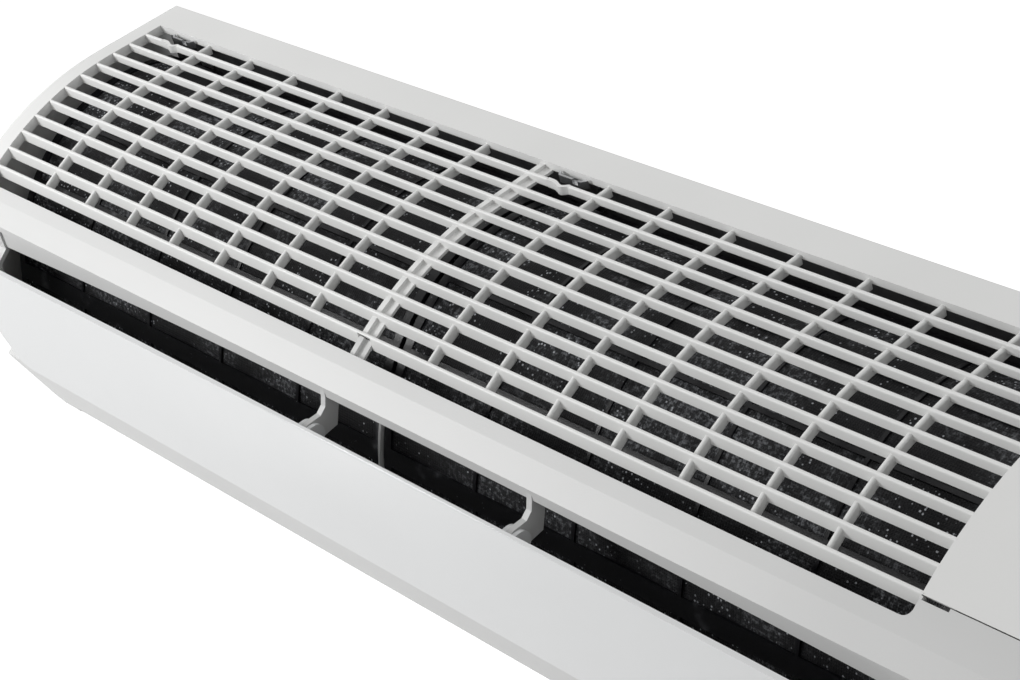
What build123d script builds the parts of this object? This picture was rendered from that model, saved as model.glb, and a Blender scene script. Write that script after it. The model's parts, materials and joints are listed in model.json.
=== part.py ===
from build123d import *
import os
from math import asin, atan2, cos, degrees, hypot, pi, radians, sin

os.makedirs("parts", exist_ok=True)

# Wall unit of a split air conditioner, in millimetres. X runs along the unit, Y points into the
# wall and Z is up. The origin is the centre of the wall plate's screw pattern, on the wall itself.

# ---------------------------------------------------------------- driving dimensions
# Clearances
seat_gap = 0.3            # between pieces that sit on one another
run_gap = 0.05            # radial, between a pin or shaft and its bore
seam_gap = 0.5            # visible line between two mouldings

# Case
case_width = 770.0
case_height = 250.0
case_depth = 180.0        # wall to the panel's front
roof_height = 120.0       # roof above the screw pattern
wall_gap = 1.0            # case's rear edge to the wall
skin = 2.2
end_round = 6.0           # rounding between the roof and the ends
roof_flat_depth = 54.0    # flat strip at the back of the roof
roof_radius = 168.0       # the roof then rolls over towards the front
crease_setback = 28.0     # crease of the front band, behind the panel's front
lip_setback = 19.0        # band's lower lip, behind the panel's front
lip_drop = 38.5           # band's lower lip, below the roof
roof_skirt = 12.0         # depth of the roof moulding's ends
rear_flange = 8.0         # ends turn inwards by this much along the wall
pipe_window_front_y = -58.0   # openings for the pipes, in both ends
pipe_window_back_y = -7.0
pipe_window_rise = 6.0
pipe_window_height = 40.0

# Grille in the roof
grille_left_margin = 16.0
service_bay = 131.0       # closed bay for motor and electronics at the right end
grille_back_y = -20.2
first_rib_y = -30.0
rib_count = 11
rib_pitch = 11.1
rib_width = 1.9
rib_depth_back = 4.2
rib_depth_front = 7.2
fins_per_side = 7
end_cell = 45.2           # first and last cells are a little longer
column_width = 7.6        # thick cross piece in the middle
column_step = 3.0         # its raised part
column_recess = 3.7       # the rest of it lies deeper than the fins
column_web = 1.4          # and is this thick
fin_width = 2.3
fin_recess = 1.9          # fins lie this far below the ribs' tops
fin_depth = 5.4
slot_width = 9.2          # long open slot between the last rib and the front band
bulge = 2.0               # first rib bows forward beside each roof hook
bulge_length = 14.0
bulge_start = 15.7        # from the start of the cell
bulge_top = 0.2           # bowed part's top, below the roof
rib_root = 0.5            # ribs run this far into the case's skin
edge_wall = 2.0           # turned-down edges of the opening
back_edge_depth = 4.0     # its rear edge is lower, above the hooks' legs
slot_edge_top = 1.0
slot_round = 4.0          # slot's front corners
seam_notch = (12.0, 1.4)  # wider part of the seam, right of the slot

# Front opening, its upper strip and the two arms that carry the panel
strip_setback = 1.4       # strip lies this far behind the lip
strip_drop = 45.2         # opening's upper edge below the roof, in the middle
opening_bow = 8.0         # and this much lower at its ends
lip_bow = 4.0
opening_left_margin = 40.0
arm_spacing = 136.0
arm_width = 3.2
arm_shift = -1.4          # both arms sit a little to the left
hinge_setback = 8.6       # panel's hinge pin, behind the panel's front
hinge_drop = 57.5         # and below the roof
hinge_pin_radius = 2.0
hinge_boss_radius = 5.4
ear_thickness = 2.2       # panel's ears either side of an arm
ear_reach = 4.8

# Front panel
panel_thickness = 2.6
panel_top_drop = 47.0
panel_bottom_drop = 129.0
panel_mid_lean = 2.7      # how far the panel leans back at half height
panel_lean = 9.7          # and at its lower edge
panel_end_radius = 90.0   # ends bend back towards the wall
panel_end_turn = 22.0
panel_bow = 3.4           # top edge is this much lower at the ends
panel_margin = 1.5

# Lower front and air outlet
trim_top_drop = 132.0
trim_top_setback = 13.5
trim_low_drop = 172.0
trim_low_setback = 30.0
mouth_top_drop = 179.5
mouth_top_setback = 33.5
mouth_low_rise = 12.5     # lower lip of the outlet, above the case's bottom
mouth_low_setback = 80.5
keel_setback = 87.0
mouth_relief = 2.5        # outlet's upper edge is cut this much higher, for the louver's swing

# Fan
fan_y = -74.0
fan_drop = 142.0
fan_radius = 42.0
blade_count = 33
blade_chord = 13.0
blade_thickness = 1.2
fan_disc_count = 9
fan_disc_thickness = 2.4
fan_shaft_radius = 4.0
nose_gap = 5.0            # guide behind the fan starts this close to the blades
scroll_gap_low = 18.0
nose_angle = 40.0
scroll_leave_angle = -51.0

# Heat exchanger
coil_thickness = 21.0
coil_front_y = -132.5
coil_foot_drop = 158.0
coil_knee_drop = 92.0
coil_peak_y = -92.0
coil_peak_drop = 40.0
coil_back_peak_y = -79.0
coil_back_peak_drop = 38.5
coil_back_y = -28.0
coil_back_drop = 100.0
end_plate = 1.2
tube_radius = 3.5
tube_pitch = 21.0
tube_row_offset = 5.2

# Filters: curved frames on a common arc
filter_y = -54.0
filter_drop = 110.0
filter_radius = 98.0
filter_frame = 2.4
filter_mesh = 0.5
filter_back_angle = 70.0
filter_front_angle = 197.0
filter_border = 5.0
filter_bar = 2.0
filter_band = 9.0         # broad bar across the front of each filter
filter_band_angle = 163.0
filter_columns = 5
filter_rows = 6
filter_end_gap = 0.6
divider_width = 1.6
rail_reach = 4.5          # a guide's width under each filter's edge
guide_thickness = 1.7

# Wall plate
plate_width = 560.0
plate_height = 190.0
plate_sheet = 1.2
plate_flange = 7.0
screw_spacing_x = 450.0
screw_spacing_z = 120.0
screw_hole_radius = 2.75
wall_hook_spacing = 380.0
wall_hook_width = 30.0
wall_hook_rise = 8.0
wall_hook_reach = 6.2

# Chassis
chassis_wall = 3.2
back_y = -11.0            # upper back sheet of the chassis, middle of its thickness
back_top_drop = 3.5
gutter_drop = 112.0
rib_plate = 2.0           # ribs behind the duct
rib_plate_count = 8
end_gap = 0.3
bottom_strip = 12.0       # front case's strip along the underside
shaft_opening = 20.0      # radius of the hole round the motor's shaft
screw_boss_radius = 4.6
screw_boss_length = 14.0
ledge_thickness = 3.0     # ledges under the electronics box
ledge_width = 4.0
rail_drop = 17.5          # hanging rail, below the top of the back sheet
rail_lip = 9.0

# Drain pan
pan_sheet = 2.0
pan_front_y = -147.0
pan_back_y = -119.5
pan_floor_drop = 164.0
pan_front_height = 16.0
pan_back_height = 18.0
spout_radius = 5.0
spout_bore = 3.8
spout_length = 18.0

# Louver and its motor
louver_gap = 1.2
louver_thickness = 3.0
louver_crown = 2.0        # bulge of its outer face
louver_pivot_along = 6.0
louver_pivot_inside = 6.0
louver_pin_radius = 2.5
louver_motor_radius = 9.0
louver_motor_length = 16.0
louver_motor_shift = 7.0

# Air vanes
vanes_per_group = 6
vane_pitch = 48.0
vane_thickness = 1.6
vane_height = 50.0
vane_setback = 21.0       # pivot, upstream of the floor's end
vane_pin_radius = 2.0
link_pin_radius = 1.3
link_along = 6.0
link_thickness = 2.2
link_width = 5.0

# Fan motor
motor_radius = 38.0
motor_length = 54.0
motor_start = 8.0         # behind the chassis wall
ring_thickness = 3.0
ring_width = 8.0
ring_inset = 7.0
saddle_reach = 50.0
saddle_drop = 42.0        # front edge of a saddle plate, below the fan's axis
strap_foot = 7.5
saddle_width = 3.0
strap_thickness = 2.0
bush_radius = 7.0
rubber_radius = 12.0

# Electronics
box_wall = 2.0
box_low = (264.0, -138.0, 30.0)
box_high = (376.0, -52.0, 86.0)
board_thickness = 1.6
board_post = 8.0          # posts behind the board
post_radius = 3.0
transformer = (24.0, 31.0, 20.0)
relay = (16.0, 15.0, 16.0)
capacitor_radius = 5.5
capacitor_length = 26.0
terminal_pitch = 10.0
terminal_pocket = (7.0, 6.0, 10.0)

# Pipes
suction_radius = 4.76
liquid_radius = 3.18
pipe_bend = 14.0
pipe_height = 24.0        # pipes' last run, above the case's bottom
flare_length = 16.0

# Small fittings
hook_start = 23.3         # hook's middle, from the start of the cell
hook_length = 19.4
hook_reach = 3.2
hook_recess = 1.7         # hook's top, below the roof
hook_height = 3.9
hook_sheet = 1.2
hook_corner = 1.4
hook_notch = (3.5, 2.4)
hook_notch_shift = 1.5
hook_leg_width = 10.0
hook_leg = 20.5           # leg in front of the back sheet
button_radius = 5.0
button_travel = 1.2
button_stem = 4.0
button_rim = 1.4
button_proud = 0.4        # button's face, ahead of the case
window_length = 36.0
window_height = 9.0
lens_gap = 0.15
lens_rim = 2.5            # rim of the window's lens, behind the case
screw_radius = 2.0
screw_head = 3.8
screw_head_height = 1.6
screw_pad = 4.4           # thickness of the case around a screw
screw_length = 16.0
screw_head_gap = 0.5      # head to the case's underside

# ---------------------------------------------------------------- derived places
half_width = case_width / 2
roof_z = roof_height
bottom_z = roof_z - case_height
front_y = -case_depth
rear_y = -wall_gap
roof_flat_y = rear_y - roof_flat_depth
roof_centre_z = roof_z - roof_radius
crease_y = front_y + crease_setback
lip_y = front_y + lip_setback
lip_z = roof_z - lip_drop
air_left = -half_width + grille_left_margin
air_right = half_width - service_bay
grille_middle = (air_left + air_right) / 2
fan_z = roof_z - fan_drop
seam_arc = (rib_count - 1) * rib_pitch + rib_width / 2 + seam_gap
slot_arc = seam_arc + slot_width


def roof_point(along, below=0.0):
    """Point (Y, Z) on the roof, at a length along it from the first rib, and below its surface."""
    flat = first_rib_y - roof_flat_y
    if along <= flat:
        return (first_rib_y - along, roof_z - below)
    turn = (along - flat) / roof_radius
    reach = roof_radius - below
    return (roof_flat_y - reach * sin(turn), roof_centre_z + reach * cos(turn))


def roof_arc_of(y):
    """Length along the roof, from the first rib, of the point at depth y."""
    flat = first_rib_y - roof_flat_y
    return flat + roof_radius * asin((roof_flat_y - y) / roof_radius)


crease_arc = roof_arc_of(crease_y)
crease = roof_point(crease_arc)
lip = (lip_y, lip_z)
panel_low_y = front_y + panel_lean
cheek_back = (front_y + 19.4, roof_z - 54.0)   # room for the panel's upper edge as it swings in
cheek_top = (front_y + 11.6, roof_z - 60.0)
cheek_mid = (front_y + 14.0, roof_z - 100.0)
cheek_low = (panel_low_y + panel_thickness + 6.8, roof_z - panel_bottom_drop + 0.5)
trim_top = (front_y + trim_top_setback, roof_z - trim_top_drop)
trim_low = (front_y + trim_low_setback, roof_z - trim_low_drop)
mouth_top = (front_y + mouth_top_setback, roof_z - mouth_top_drop)
mouth_low = (front_y + mouth_low_setback, bottom_z + mouth_low_rise)
keel = (front_y + keel_setback, bottom_z)


def export(builder, name):
    """Label a finished piece and write its file."""
    builder.part.label = name
    export_step(builder.part, f"parts/{name}.step")


def along_x(profile, length, mode=Mode.ADD):
    """Extrude a profile that stands across the unit, towards +X."""
    extrude(profile, amount=length, dir=(1, 0, 0), mode=mode)


def case_outline(inset, place):
    """Side outline of the case, drawn inset inside its surface, at a place along X."""
    with BuildSketch(Plane.YZ.offset(place)) as outline:
        with BuildLine():
            Line((rear_y, bottom_z), (rear_y, roof_z))
            Line((rear_y, roof_z), (roof_flat_y, roof_z))
            ThreePointArc((roof_flat_y, roof_z), roof_point((crease_arc + 25) / 2), crease)
            Polyline(crease, lip, cheek_back, cheek_top, cheek_mid, cheek_low, trim_top, trim_low, mouth_top,
                     mouth_low, keel, (rear_y, bottom_z))
        make_face()
        if inset > 0:
            offset(amount=-inset, kind=Kind.INTERSECTION)
    return outline.sketch


def case_hull(inset):
    """Solid inside the case's outer surface, shrunk by inset, with rounded ends."""
    with BuildPart() as hull:
        along_x(case_outline(inset, inset - half_width), case_width - 2 * inset)
        ends = hull.edges().group_by(Axis.X)[0] + hull.edges().group_by(Axis.X)[-1]
        upper = [e for e in ends if e.center().Z > lip_z]
        fillet(upper, radius=end_round - inset)
    return hull.part


def roof_zone(along, skirt, reach, place):
    """Region of the roof moulding: from the rear to a length along the roof, skirt deep."""
    middle = (along + first_rib_y - roof_flat_y) / 2
    with BuildSketch(Plane.YZ.offset(place)) as zone:
        with BuildLine():
            Line((rear_y + reach, roof_z - skirt), (roof_flat_y, roof_z - skirt))
            ThreePointArc((roof_flat_y, roof_z - skirt), roof_point(middle, skirt),
                          roof_point(along, skirt))
            Line(roof_point(along, skirt), roof_point(along, -reach))
            ThreePointArc(roof_point(along, -reach), roof_point(middle, -reach),
                          (roof_flat_y, roof_z + reach))
            Line((roof_flat_y, roof_z + reach), (rear_y + reach, roof_z + reach))
            Line((rear_y + reach, roof_z + reach), (rear_y + reach, roof_z - skirt))
        make_face()
    return zone.sketch


def roof_band(start, end, top, depth, place):
    """Strip that follows the roof between two lengths along it, top below the surface."""
    flat = first_rib_y - roof_flat_y
    with BuildSketch(Plane.YZ.offset(place)) as band:
        with BuildLine():
            Line(roof_point(start, top + depth), roof_point(start, top))
            if start < flat:
                Line(roof_point(start, top), roof_point(flat, top))
                Line(roof_point(flat, top + depth), roof_point(start, top + depth))
            bend = max(start, flat)
            ThreePointArc(roof_point(bend, top), roof_point((bend + end) / 2, top), roof_point(end, top))
            Line(roof_point(end, top), roof_point(end, top + depth))
            ThreePointArc(roof_point(end, top + depth), roof_point((bend + end) / 2, top + depth),
                          roof_point(bend, top + depth))
        make_face()
    return band.sketch


def block(low, high, mode=Mode.ADD):
    """Box between two corners."""
    size = [b - a for a, b in zip(low, high)]
    middle = tuple((a + b) / 2 for a, b in zip(low, high))
    with Locations(middle):
        Box(*size, mode=mode)


def rod_x(place, start, end, radius, mode=Mode.ADD):
    """Round bar along X through a point (Y, Z)."""
    with BuildSketch(Plane.YZ.offset(start)) as ring:
        with Locations(place):
            Circle(radius)
    extrude(ring.sketch, amount=end - start, dir=(1, 0, 0), mode=mode)


def sector(inner, outer, first, last, start, end):
    """Part of a tube about the filters' centre, between two angles in degrees."""
    def at(reach, angle):
        return (filter_y + reach * cos(radians(angle)), filter_z + reach * sin(radians(angle)))
    middle = (first + last) / 2
    with BuildSketch(Plane.YZ.offset(start)) as outline:
        with BuildLine():
            ThreePointArc(at(outer, first), at(outer, middle), at(outer, last))
            Line(at(outer, last), at(inner, last))
            ThreePointArc(at(inner, last), at(inner, middle), at(inner, first))
            Line(at(inner, first), at(outer, first))
        make_face()
    extrude(outline.sketch, amount=end - start, dir=(1, 0, 0))


# ---------------------------------------------------------------- case shell
with BuildPart() as case_shell:
    add(case_hull(0.0))
    add(case_hull(skin), mode=Mode.SUBTRACT)

# ---------------------------------------------------------------- roof with its grille
grille_length = air_right - air_left
rib_arcs = [k * rib_pitch for k in range(rib_count)]
back_arc = grille_back_y - first_rib_y
fin_pitch = (grille_length / 2 - end_cell - column_width / 2) / fins_per_side
fin_places = [grille_middle + side * (column_width / 2 + k * fin_pitch)
              for side in (-1, 1) for k in range(1, fins_per_side + 1)]
column_start = grille_middle - column_width / 2
cell_starts = [air_left, column_start]


def rib_section(along, place):
    """Upright blade of the grille with a rounded top, at a length along the roof."""
    y, z = roof_point(along)
    depth = rib_depth_back + (rib_depth_front - rib_depth_back) * (along / rib_arcs[-1]) ** 2
    half = rib_width / 2
    with BuildSketch(Plane.YZ.offset(place)) as section:
        with BuildLine():
            Polyline((y - half, z - half), (y - half, z - depth), (y + half, z - depth), (y + half, z - half))
            ThreePointArc((y + half, z - half), (y, z), (y - half, z - half))
        make_face()
    return section.sketch


def bowed_rib(place):
    """Plan of the first rib where it bows forward, as a band of even width."""
    steps = 12
    rear = []
    for k in range(steps + 1):
        forward = bulge * sin(pi * (k / steps) ** 2) ** 2
        rear.append((place + bulge_length * k / steps, first_rib_y + rib_width / 2 - forward))
    front = [(x, y - rib_width) for x, y in reversed(rear)]
    with BuildSketch(Plane.XY.offset(roof_z - bulge_top)) as plan:
        with BuildLine():
            Spline(*rear, tangents=((1, 0), (1, 0)))
            Line(rear[-1], front[0])
            Spline(*front, tangents=((-1, 0), (-1, 0)))
            Line(front[-1], rear[0])
        make_face()
    return plan.sketch


with BuildPart() as grille_fin:
    along_x(roof_band(-back_arc, rib_arcs[-1], fin_recess, fin_depth, -fin_width / 2), fin_width)
    fin_top = [e for e in grille_fin.edges().filter_by(Plane.YZ) if e.length > 4 * fin_depth]
    fin_top = [e for e in fin_top if e.center().Z > roof_point(rib_arcs[-1] * 0.8)[1]]
    fillet(fin_top, radius=fin_width / 2 - 0.15)

with BuildPart() as roof_reach:
    along_x(roof_zone(seam_arc - seam_gap, roof_skirt, 30.0, -half_width - 5), case_width + 10)

with BuildPart() as roof_case:
    add(case_shell.part)
    add(roof_reach.part, mode=Mode.INTERSECT)
    block((rear_flange - half_width, rear_y - skin - 0.1, 0),
          (half_width - rear_flange, rear_y + 1, roof_z - skin), Mode.SUBTRACT)
    along_x(roof_band(-back_arc, seam_arc + 5, -5.0, 20.0, air_left), grille_length, Mode.SUBTRACT)
    for along in rib_arcs:
        along_x(rib_section(along, air_left - rib_root), grille_length + 2 * rib_root)
    # edges of the opening turn down as deep as the ribs
    block((air_left - edge_wall, grille_back_y, roof_z - back_edge_depth),
          (air_right + edge_wall, grille_back_y + edge_wall, roof_z - skin / 2))
    for start in (air_left - edge_wall, air_right):
        along_x(roof_band(-back_arc, rib_arcs[-1], skin / 2, rib_depth_back, start), edge_wall)
    for place in fin_places:
        with Locations((place, 0, 0)):
            add(grille_fin.part)
    along_x(roof_band(-back_arc, rib_arcs[-1], column_recess, column_web, column_start), column_width)
    along_x(roof_band(-back_arc, rib_arcs[-1], fin_recess, fin_depth, column_start), column_step)
    # first rib bows forward past each hook
    for cell in cell_starts:
        place = cell + bulge_start
        block((place, first_rib_y - rib_width / 2 - 0.1, roof_z - rib_depth_back - 1),
              (place + bulge_length, first_rib_y + rib_width / 2 + 0.1, roof_z + 1), Mode.SUBTRACT)
        extrude(bowed_rib(place), amount=rib_depth_back, dir=(0, 0, -1))
    # room for the front case's cross piece and for the ends of its slot
    column_end = column_start + column_width
    for start, end in ((air_left - 1, air_left), (column_start - seam_gap, column_end + seam_gap),
                       (air_right, air_right + 1)):
        along_x(roof_band(seam_arc - seam_gap, seam_arc + 12, -1.0, 16.0, start), end - start, Mode.SUBTRACT)
export(roof_case, "roof_case")

# ---------------------------------------------------------------- front case
opening_left = -half_width + opening_left_margin
opening_right = air_right + 2.0
opening_top = roof_z - strip_drop
strip_y = lip_y + strip_setback
filter_z = roof_z - filter_drop
filter_foot_z = filter_z + filter_radius * sin(radians(filter_front_angle))
sill_z = filter_foot_z - seat_gap
sill_back_y = coil_front_y - coil_thickness / 2 - 1.6
divider_outer = filter_radius + 1.6
divider_inner = filter_radius - filter_frame
divider_top_angle = 148.0
divider_foot_angle = 198.0
hinge_y = front_y + hinge_setback
hinge_z = roof_z - hinge_drop
arm_places = [arm_shift - arm_spacing / 2, arm_shift + arm_spacing / 2]
wall_left = air_left - end_gap
wall_right = air_right - 6.5
inner_left = wall_left + chassis_wall
inner_right = wall_right
mouth_left = inner_left + louver_gap
mouth_right = inner_right - louver_gap
button_x = half_width - 72.0
button_z = roof_z - 80.0
window_x = half_width - 78.0
screw_places = [grille_middle - 249.0, grille_middle, grille_middle + 249.0]


def arched_region(rise, edge_z, floor_z, depth):
    """Front view of the inlet, below an edge that is rise higher in the middle of the case."""
    def edge(x):
        return edge_z - rise * (x / (half_width - opening_left_margin)) ** 2
    middle = (opening_left + opening_right) / 2
    with BuildSketch(Plane.XZ.offset(-depth)) as region:
        with BuildLine():
            ThreePointArc((opening_left, edge(opening_left)), (middle, edge(middle)),
                          (opening_right, edge(opening_right)))
            Polyline((opening_right, edge(opening_right)), (opening_right, floor_z),
                     (opening_left, floor_z), (opening_left, edge(opening_left)))
        make_face()
    return region.sketch


def arm_outline(place):
    """Side view of an arm that comes down from the strip and forward to the panel's pin."""
    top = hinge_z + hinge_boss_radius
    low = hinge_z - hinge_boss_radius
    with BuildSketch(Plane.YZ.offset(place)) as outline:
        with BuildLine():
            Polyline((strip_y + 1.5, lip_z - 3), (strip_y, lip_z - 4), (strip_y - 0.6, top + 6.5),
                     (strip_y - 2.0, top + 2.5), (strip_y - 5.5, top), (hinge_y, top))
            ThreePointArc((hinge_y, top), (hinge_y - hinge_boss_radius, hinge_z), (hinge_y, low))
            Polyline((hinge_y, low), (strip_y + 1.0, low + 1.5), (strip_y + 4.6, top - 1.0),
                     (strip_y + 5.2, top + 7.0), (strip_y + 5.2, lip_z - 3), (strip_y + 1.5, lip_z - 3))
        make_face()
    return outline.sketch


with BuildPart() as roof_reserve:
    along_x(roof_zone(seam_arc, roof_skirt + seam_gap, 30.0, -half_width - 5), case_width + 10)

slot_cut_depth = 20.0
with BuildPart() as slot_cut:
    along_x(roof_band(seam_arc - 2, slot_arc, -5.0, slot_cut_depth, air_left), grille_length)
    upright = [e for e in slot_cut.edges() if abs(e.length - slot_cut_depth) < 0.1]
    fillet(ShapeList(upright).sort_by(Axis.Y)[:2], radius=slot_round)

with BuildPart() as front_case:
    add(case_shell.part)
    add(roof_reserve.part, mode=Mode.SUBTRACT)
    add(slot_cut.part, mode=Mode.SUBTRACT)
    # slot's front edge turns down and carries the cross piece
    along_x(roof_band(slot_arc, slot_arc + edge_wall, slot_edge_top, fin_depth, air_left - edge_wall),
            grille_length + 2 * edge_wall)
    for top, depth, width in ((column_recess, column_web, column_width),
                              (fin_recess, fin_depth, column_step)):
        along_x(roof_band(seam_arc, slot_arc + 1, top, depth, column_start), width)
    notch_length, notch_width = seam_notch
    along_x(roof_band(seam_arc, seam_arc + notch_width, -1.0, skin + 1.5, air_right + 1), notch_length,
            Mode.SUBTRACT)
    block((rear_flange - half_width, rear_y - skin - 0.1, bottom_z - 1),
          (half_width - rear_flange, rear_y + 1, roof_z), Mode.SUBTRACT)
    block((rear_flange - half_width, keel[0] + bottom_strip, bottom_z - 1),
          (half_width - rear_flange, rear_y + 1, bottom_z + skin + 0.1), Mode.SUBTRACT)
    # front inlet, below the lip
    extrude(arched_region(lip_bow, lip_z, cheek_low[1] + 1.0, lip_y + 8.0), amount=40, dir=(0, -1, 0),
            mode=Mode.SUBTRACT)
    # strip behind the lip, arched along its lower edge, and the sill under the filters
    block((opening_left - 1, strip_y, opening_top - opening_bow - 1),
          (opening_right + 1, strip_y + skin, lip_z + 0.5))
    extrude(arched_region(opening_bow, opening_top, opening_top - 12.0, strip_y + skin + 1), amount=skin + 2,
            dir=(0, -1, 0), mode=Mode.SUBTRACT)
    block((air_left + 1, trim_top[0] + 4.0, sill_z - skin), (air_right - 1, sill_back_y, sill_z))
    # white rib that stands on the sill between the two filters
    sector(divider_inner, divider_outer, divider_top_angle, divider_foot_angle,
           grille_middle - divider_width / 2, grille_middle + divider_width / 2)
    # arms that carry the panel's pins
    for place in arm_places:
        along_x(arm_outline(place - arm_width / 2), arm_width)
        rod_x((hinge_y, hinge_z), place - arm_width, place + arm_width, hinge_pin_radius + run_gap,
              Mode.SUBTRACT)
    # air outlet
    block((wall_left - seam_gap, front_y, bottom_z - 1),
          (wall_right + chassis_wall + seam_gap, mouth_low[0] - 0.5, mouth_top[1] + mouth_relief),
          Mode.SUBTRACT)
    # openings for the pipes at both ends
    for side in (-1, 1):
        x = side * half_width
        block((x - 2 * skin, pipe_window_front_y, bottom_z + pipe_window_rise),
              (x + 2 * skin, pipe_window_back_y, bottom_z + pipe_window_rise + pipe_window_height),
              Mode.SUBTRACT)
    # holes for the button, the window and the screws
    with Locations(Plane(origin=(button_x, front_y, button_z), z_dir=(0, 1, 0))):
        Cylinder(button_radius + 0.15, 50, mode=Mode.SUBTRACT)
    with Locations((window_x, (trim_top[0] + trim_low[0]) / 2, (trim_top[1] + trim_low[1]) / 2)):
        Box(window_length, 30, window_height, mode=Mode.SUBTRACT)
    for x in screw_places:
        with Locations((x, keel[0] + bottom_strip / 2, bottom_z)):
            Cylinder(screw_head + 2.0, screw_pad, align=(Align.CENTER, Align.CENTER, Align.MIN))
            Cylinder(screw_radius + 0.2, 3 * screw_pad, mode=Mode.SUBTRACT)
            Cylinder(screw_head + 0.4, 2 * (screw_head_height + 0.6), mode=Mode.SUBTRACT)
export(front_case, "front_case")

# ---------------------------------------------------------------- front panel
panel_reach = half_width - panel_margin
panel_straight = panel_reach - panel_end_radius * sin(radians(panel_end_turn))
panel_top_z = roof_z - panel_top_drop
panel_low_z = roof_z - panel_bottom_drop


def panel_outline(place):
    """Cross-section of the panel: a bowed sheet with its two long edges turned in a little."""
    middle_z = (panel_top_z + panel_low_z) / 2
    with BuildSketch(Plane.YZ.offset(place)) as outline:
        with BuildLine():
            ThreePointArc((front_y, panel_top_z), (front_y + panel_mid_lean, middle_z),
                          (panel_low_y, panel_low_z))
            Line((panel_low_y, panel_low_z), (panel_low_y + panel_thickness, panel_low_z + 0.4))
            ThreePointArc((panel_low_y + panel_thickness, panel_low_z + 0.4),
                          (front_y + panel_mid_lean + panel_thickness, middle_z),
                          (front_y + panel_thickness, panel_top_z))
            Line((front_y + panel_thickness, panel_top_z), (front_y, panel_top_z))
        make_face()
        fillet(outline.vertices(), radius=0.9)
    return outline.sketch


def top_bow_cut():
    """Front view of what lies above the panel's top edge, which drops towards both ends."""
    end_z = panel_top_z - panel_bow
    with BuildSketch(Plane.XZ.offset(-front_y + 5)) as region:
        with BuildLine():
            ThreePointArc((-half_width, end_z), (0, panel_top_z), (half_width, end_z))
            Polyline((half_width, end_z), (half_width, panel_top_z + 9), (-half_width, panel_top_z + 9),
                     (-half_width, end_z))
        make_face()
    return region.sketch


with BuildPart() as front_panel:
    along_x(panel_outline(-panel_straight), 2 * panel_straight)
    for side in (-1, 1):
        pivot = Axis((side * panel_straight, front_y + panel_end_radius, 0), (0, 0, side))
        revolve(panel_outline(side * panel_straight), axis=pivot, revolution_arc=panel_end_turn)
    extrude(top_bow_cut(), amount=40, dir=(0, 1, 0), mode=Mode.SUBTRACT)
    # ears either side of each arm, joined by the hinge pin
    for place in arm_places:
        for side in (-1, 1):
            near = place + side * (arm_width / 2 + seat_gap)
            far = near + side * ear_thickness
            start = min(near, far)
            rod_x((hinge_y, hinge_z), start, start + ear_thickness, ear_reach)
            block((start, front_y + panel_thickness - 0.6, hinge_z - ear_reach),
                  (start + ear_thickness, hinge_y, hinge_z + ear_reach))
        rod_x((hinge_y, hinge_z), place - arm_width / 2 - 1, place + arm_width / 2 + 1, hinge_pin_radius)
export(front_panel, "front_panel")


def ribbon(points, thickness):
    """Corners of a sheet of even thickness that follows a path of (Y, Z) points."""
    headings = [Vector(b[0] - a[0], b[1] - a[1]).normalized() for a, b in zip(points, points[1:])]
    headings = [headings[0]] + headings + [headings[-1]]
    upper = []
    lower = []
    for (y, z), before, after in zip(points, headings, headings[1:]):
        reach = thickness / 2 / (1 + before.dot(after))
        shift = (reach * (before.Y + after.Y), reach * (before.X + after.X))
        upper.append((y - shift[0], z + shift[1]))
        lower.append((y + shift[0], z - shift[1]))
    return upper + lower[::-1]


def plate(corners, start, end, mode=Mode.ADD):
    """Flat piece across the unit with corners (Y, Z), between two places along X."""
    with BuildSketch(Plane.YZ.offset(start)) as outline:
        with BuildLine():
            Polyline(*corners, corners[0])
        make_face()
    extrude(outline.sketch, amount=end - start, dir=(1, 0, 0), mode=mode)


# ---------------------------------------------------------------- rear chassis
fan_point = (fan_y, fan_z)
gutter_z = roof_z - gutter_drop - 5.0
back_top = roof_z - back_top_drop


def scroll_point(angle, beyond=0.0):
    """Point of the guide behind the fan; it opens out evenly from its nose to the duct."""
    share = (nose_angle - angle) / (nose_angle - scroll_leave_angle)
    reach = fan_radius + nose_gap + (scroll_gap_low - nose_gap) * share + beyond
    return (fan_y + reach * cos(radians(angle)), fan_z + reach * sin(radians(angle)))


scroll_steps = 10
scroll_turn = scroll_leave_angle - nose_angle
scroll_angles = [nose_angle + scroll_turn * k / scroll_steps for k in range(scroll_steps + 1)]
duct_slope = radians(scroll_leave_angle - 90)
downstream = (cos(duct_slope), sin(duct_slope))
upward = (downstream[1], -downstream[0])
floor_start = scroll_point(scroll_leave_angle)
floor_length = (floor_start[0] - mouth_low[0] - 4.0) / -downstream[0]
scroll_path = [scroll_point(a, skin / 2) for a in scroll_angles]
floor_end = (scroll_path[-1][0] + floor_length * downstream[0],
             scroll_path[-1][1] + floor_length * downstream[1])


def duct_point(along, above):
    """Point (Y, Z) in the outlet duct: along its floor from the floor's end, and above the floor."""
    y = floor_end[0] + along * downstream[0] + (above + skin / 2) * upward[0]
    z = floor_end[1] + along * downstream[1] + (above + skin / 2) * upward[1]
    return (y, z)


coil_knee = Vector(coil_front_y, roof_z - coil_knee_drop)
coil_peak = Vector(coil_peak_y, roof_z - coil_peak_drop)
coil_foot = Vector(coil_front_y, roof_z - coil_foot_drop)
coil_back_peak = Vector(coil_back_peak_y, roof_z - coil_back_peak_drop)
coil_back_foot = Vector(coil_back_y, roof_z - coil_back_drop)
front_coil_path = [(p.X, p.Y) for p in (coil_foot, coil_knee, coil_peak)]
back_coil_path = [(p.X, p.Y) for p in (coil_back_peak, coil_back_foot)]
peak_split = (coil_peak_y + coil_back_peak_y) / 2
front_coil = ribbon(front_coil_path, coil_thickness)
back_coil = ribbon(back_coil_path, coil_thickness)

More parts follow.
